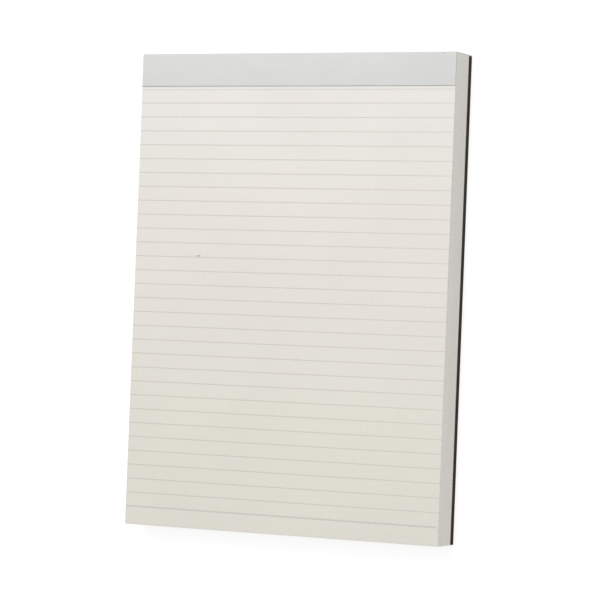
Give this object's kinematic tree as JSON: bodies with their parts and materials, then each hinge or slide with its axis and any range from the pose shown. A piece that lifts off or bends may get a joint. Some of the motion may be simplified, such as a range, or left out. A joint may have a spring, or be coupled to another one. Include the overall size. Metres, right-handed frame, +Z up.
{
  "type": "legal pad",
  "caption": "Head-bound ruled writing pad: a thick block of ivory sheets on a stiff dark back board, glued along the head and bound there by one folded grey tape.",
  "frame": {"origin": "centre of the underside, on the surface that the pad lies on", "axes": "+X to the reader's right along the rules, +Y towards the bound head, +Z up from the back board through the sheets"},
  "size_m": [0.216, 0.299, 0.0249],
  "materials": {
    "board": "matt, dyed dark brown, fibrous at the cut edges",
    "sheets": "matt uncoated ivory writing paper with thin grey rules",
    "glue": "dried padding compound, off-white and slightly translucent",
    "tape": "smooth grey binding paper with a faint fibre grain"
  },
  "bodies": {
    "root": {"back_board": "board", "sheet_block": "sheets", "head_glue": "glue", "binding_tape": "tape"}
  },
  "joints": []
}
